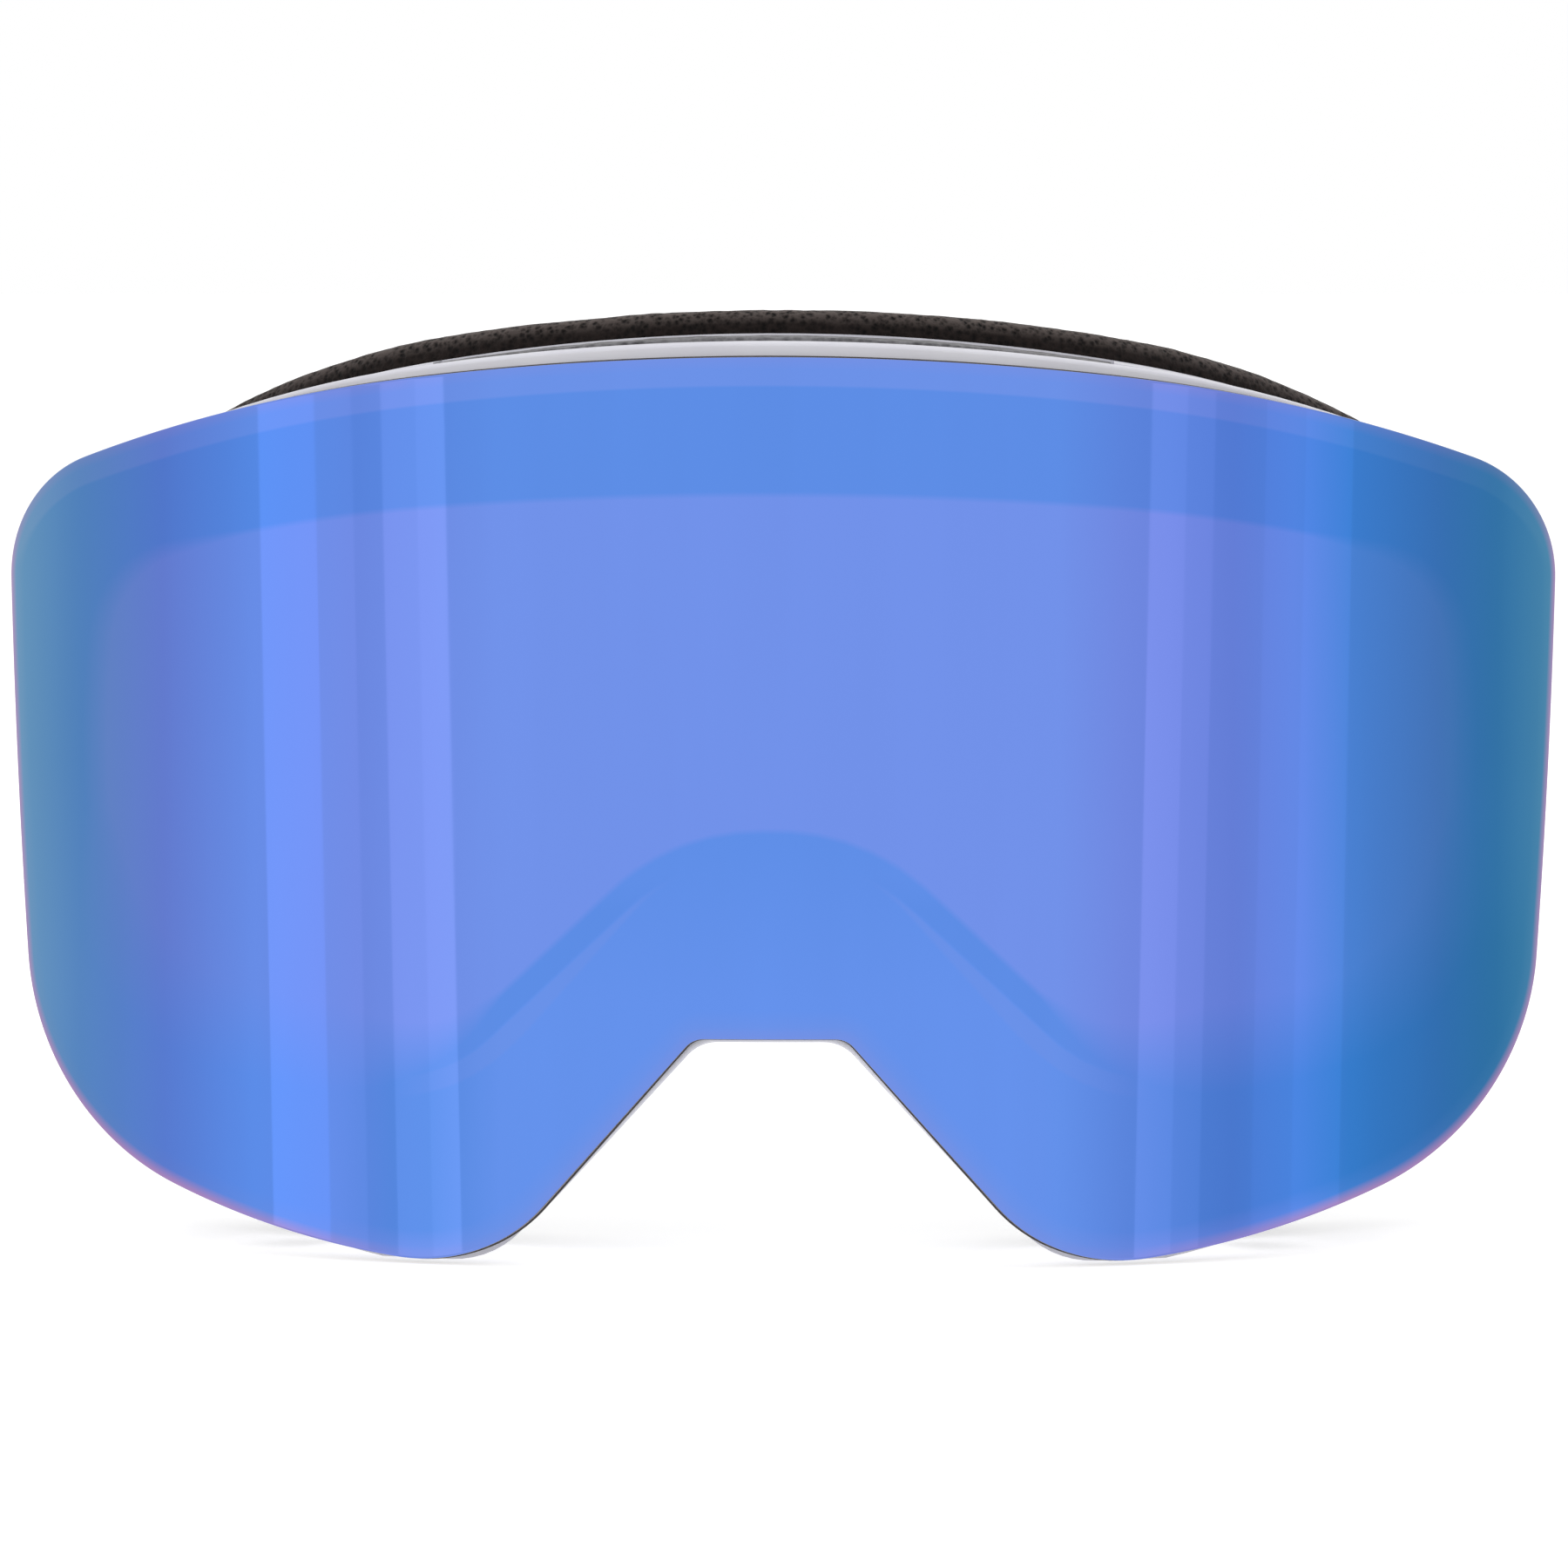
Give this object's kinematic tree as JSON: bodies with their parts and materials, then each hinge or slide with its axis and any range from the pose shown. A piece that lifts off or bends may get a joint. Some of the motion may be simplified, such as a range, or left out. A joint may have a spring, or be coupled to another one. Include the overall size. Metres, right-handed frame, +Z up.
{
  "type": "ski goggles",
  "caption": "Ski goggles with a tall frameless cylindrical double lens held by magnets, a vented frame with layered face foam, and an elastic strap on pivoting outriggers.",
  "frame": {"origin": "middle of the bottom of the box around the goggles and their strap, on the surface they stand on", "axes": "+Z up, +Y from the lens back towards the back of the strap, +X towards the wearer's left, so the lens faces -Y"},
  "size_m": [0.178, 0.2208, 0.1061],
  "materials": {
    "mirror_lens": "blue mirror coating over a smoke polycarbonate lens",
    "clear_lens": "clear anti-fog inner lens",
    "black_plastic": "fine-grained black moulding",
    "white_frame": "satin white moulded elastomer",
    "gasket_foam": "closed-cell black foam tape",
    "vent_foam": "coarse open-cell black foam",
    "face_foam": "open-cell charcoal foam",
    "comfort_foam": "finer and softer dark grey foam",
    "fleece": "short-pile black fleece",
    "magnet": "nickel-plated magnet",
    "steel": "dark satin steel",
    "washer": "natural acetal",
    "strap": "woven elastic webbing",
    "silicone": "translucent blue silicone bead"
  },
  "bodies": {
    "frame": {"frame_shell": "white_frame", "frame_magnets": "magnet", "top_vent_foam": "vent_foam", "lower_vent_foam_left": "vent_foam", "lower_vent_foam_right": "vent_foam", "face_foam_base": "face_foam", "face_foam_comfort": "comfort_foam", "face_fleece": "fleece", "pivot_bushing_left": "steel", "pivot_bushing_right": "steel", "friction_washer_left": "washer", "friction_washer_right": "washer", "pivot_screw_left": "steel", "pivot_screw_right": "steel"},
    "lens": {"outer_lens": "mirror_lens", "lens_carrier": "black_plastic", "lens_magnets": "magnet", "lens_locating_pins": "black_plastic", "lens_gasket": "gasket_foam", "inner_lens": "clear_lens"},
    "strap": {"outrigger_left": "black_plastic", "outrigger_right": "black_plastic", "strap_band": "strap", "silicone_grip": "silicone"},
    "adjuster_left": {"strap_adjuster_left": "black_plastic"},
    "adjuster_right": {"strap_adjuster_right": "black_plastic"}
  },
  "joints": [
    {"name": "lens_pull", "type": "slide", "parent": "frame", "child": "lens", "axis": [0, -1, 0], "range_m": [0, 0.06]},
    {"name": "strap_tilt", "type": "hinge", "parent": "frame", "child": "strap", "pos_m": [0, -0.04592, 0.052], "axis": [1, 0, 0], "range_deg": [-10, 30]},
    {"name": "adjuster_left_slide", "type": "slide", "parent": "strap", "child": "adjuster_left", "axis": [-0.0523, 0.9986, 0], "range_m": [-0.012, 0.012]},
    {"name": "adjuster_right_slide", "type": "slide", "parent": "strap", "child": "adjuster_right", "axis": [0.0523, 0.9986, 0], "range_m": [-0.012, 0.012]}
  ]
}
